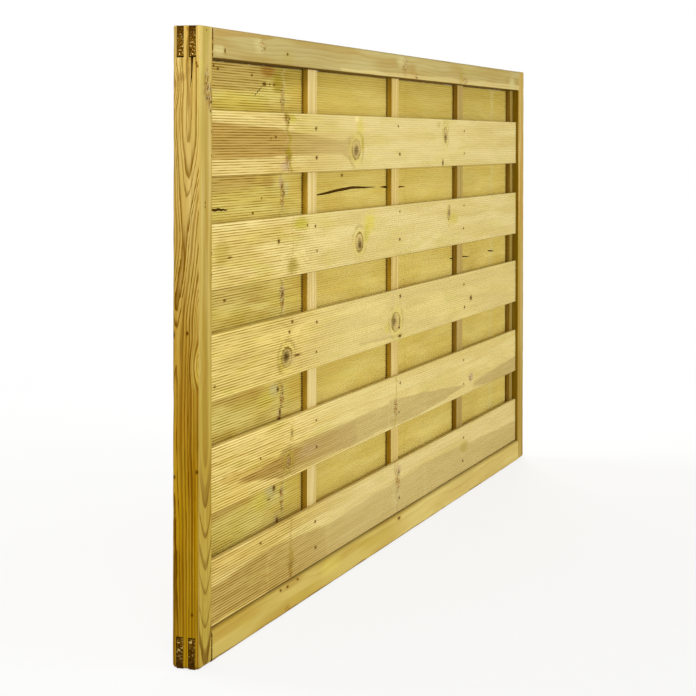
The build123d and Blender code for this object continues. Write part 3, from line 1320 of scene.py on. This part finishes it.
rails = {
    "top_rail": woodLook(
        23,
        # painted shade along its lowest, rounded edge
        foot=1.0,
        pale=tone(186, 170, 110),
        warm=tone(176, 153, 88),
        tint=tone(178, 164, 92),
        torn=(44, 12),
        rings={"pith": (60, 50), "wide": 4.4, "dark": 0.3},
        bands=[
            (-40, 520, (-8, -8), (60, 60), 16, "dark", 0.1),
            (560, 1780, (-6, -6), (7, 12), 1.5, "cream", 0.35),
            (40, 260, (32, 38), (50, 50), 2, "brown", 0.45),
        ],
        stains=[
            ((64, 12), (26, 9), "greyGreen", 0.6), ((212, 26), (24, 14), "greyGreen", 0.5),
            ((330, 12), (30, 14), "olive", 0.2), ((890, 30), (34, 12), "greyGreen", 0.7),
            ((955, 18), (34, 12), "brown", 0.4), ((1690, 14), (30, 16), "greyGreen", 0.8),
            ((1280, 12), (18, 20), "olive", 0.4),
        ],
        burrs=[
            ((226, 30), (14, 16), 0.5), ((910, 22), (20, 20), 0.6), ((980, 6), (16, 6), 0.8),
            ((1310, 8), (20, 8), 0.8),
        ],
        pits=[((85, 12), (3, 4)), ((324, 18), (4, 2.2))],
    ),
    "bottom_rail": woodLook(
        24,
        pale=tone(198, 175, 92),
        warm=tone(184, 155, 68),
        tint=tone(188, 165, 70),
        torn=(4, 34),
        rings={"pith": (10, 60), "wide": 4.8, "dark": 0.25},
        bands=[
            (850, 1900, (-8, -8), (60, 60), 30, "cream", 0.25),
            # painted shade along the lowest, rounded edge
            (-200, 1990, (-9, -9), (3.2, 3.2), 1.0, "dark", 0.75),
        ],
        stains=[
            ((326, 7), (14, 5), "brown", 0.7), ((520, 30), (60, 14), "lime", 0.5),
            ((350, 40), (60, 6), "brown", 0.5),
        ],
        pits=[((300, 41), (4, 2)), ((328, 40), (5, 2)), ((372, 42), (4, 2)), ((880, 38), (8, 3))],
    ),
}
for node, look in rails.items():
    makeRail(node, look)
print("rails: top and bottom rails tenoned")

battenShape = {"rounding": 1.0, "ends": (0, 0), "step": 12.0, "wear": 0.5, "firstSeed": 31}
battenTones = {
    "teeth": (3.96, 11.0),  # the ribs' spacing up it and the depth where they meet it, for their painted groove shadow
    "pale": tone(221, 200, 139),
    "warm": tone(204, 180, 110),
    "tint": tone(210, 196, 122),
    # side faces darker: sawn wood and painted shade
    "sides": ((0.70, 0.55, 0.07, 1.0), -2, -1, 1.0),
    "streaks": 0.3,
    "patch": (300, 9, 9),
    "rings": {"pith": (12, -24), "wide": 3.2, "dark": 0.35},
}
farShades = {  # painted shade: how much of their colour the battens farther along keep, their side faces twice over
    "inner_batten_2": (0.97, 0.95, 0.88),
    "inner_batten_3": (0.78, 0.74, 0.62),
    "right_batten": (0.7, 0.66, 0.5),
}


def makeBatten(node, seed):
    shape = bmesh.new()
    addBar(shape, "z", *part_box(node), battenShape, seed)
    look = woodLook(seed, **battenTones)
    if node in farShades:
        # painted shade on the farther battens, stronger on their side faces
        shade = (*farShades[node], 1.0)
        sideTone, *rest = look["sides"]
        look["face"] = (shade, shade, 0, 1)
        look["sides"] = (tuple(a * b * b for a, b in zip(sideTone, shade)), *rest)
    return keepPiece(barPiece(shape, node, "z", look), "batten_wood", node)


for count, node in enumerate(battenNodes):
    makeBatten(node, battenShape["firstSeed"] + count)
print("battens: five uprights made")


# Nails

def nailTree():  # a domed head on each point, turned, tilted and sized at random
    tree, size = newTree("boardNails", {
        "Float": ["Head", "Dome", "Tilt", "Smallest", "Largest"],
        "Int": ["Seed"],
        "Material": ["Material"],
    })
    desk = Wire(tree)
    facets = {"Segments": nailShape["segments"], "Rings": nailShape["rings"], "Radius": 1.0}
    ball = desk.node("GeometryNodeMeshUVSphere", {}, facets)
    flat = desk.vector(size["Head"] / 2, size["Dome"], size["Head"] / 2)
    head = desk.node("GeometryNodeTransform", {}, {"Geometry": ball, "Scale": flat})
    spin = nailShape["spin"]
    most = desk.vector(size["Tilt"], spin, size["Tilt"])
    back = 0 - size["Tilt"]
    least = desk.vector(back, -spin, back)
    turns = {"Min": least, "Max": most, "Seed": size["Seed"]}
    turn = desk.node("FunctionNodeRandomValue", {"data_type": "FLOAT_VECTOR"}, turns)
    spread = {2: size["Smallest"], 3: size["Largest"], "Seed": size["Seed"]}
    grown = desk.node("FunctionNodeRandomValue", {"data_type": "FLOAT"}, spread, 1)
    heads = {"Points": size["Geometry"], "Instance": head, "Rotation": turn, "Scale": grown}
    endTree(desk, desk.node("GeometryNodeInstanceOnPoints", {}, heads), size["Material"])
    return tree


nailFinish = {
    "brown": tone(84, 62, 30),
    "dark": tone(46, 34, 20),
    "grain": 900.0,
    "bumpStrength": 0.5,
    "bumpDepth": 0.1,  # mm
}


def nailMaterial():  # dark rust with some bare steel
    material, desk = newMaterial("rustyNail")
    place = desk.node("ShaderNodeTexCoord", {}, {}, "Object")
    rust = desk.noiseAt(place, 3.0, nailFinish["grain"])
    bump = {"Strength": nailFinish["bumpStrength"], "Distance": nailFinish["bumpDepth"] * mm, "Height": rust}
    endMaterial(desk, {
        "Base Color": desk.mix(rust.rise(0.35, 0.65), nailFinish["brown"], nailFinish["dark"]),
        "Roughness": 0.5 + rust * 0.3,
        "Metallic": rust.rise(0.7, 0.3) * 0.6,
        "Normal": desk.node("ShaderNodeBump", {}, bump),
    })
    return material


def makeNails(name, boards, side, seed):  # the nails of these boards, on their front or their back
    points = []
    for board in boards:
        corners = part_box(board)
        y = corners[side].y
        points += [(corners[0].x + x * mm, y, corners[0].z + up * mm) for x, up in nailPlaces(board)]
    values = {
        "Head": nailShape["head"] * mm,
        "Dome": nailShape["dome"] * mm,
        "Tilt": nailShape["tilt"],
        "Smallest": nailShape["sizes"][0],
        "Largest": nailShape["sizes"][1],
        "Seed": seed,
        "Material": rusty,
    }
    keepPiece(linkMesh(name, grow(name, nails, values, points), nailShape["sharpAngle"]), "nail_steel")


nails = nailTree()
rusty = nailMaterial()
makeNails("frontNails", frontBoards, 0, 5)
makeNails("backNails", backBoards, 1, 8)
print("nails: heads set in the boards")
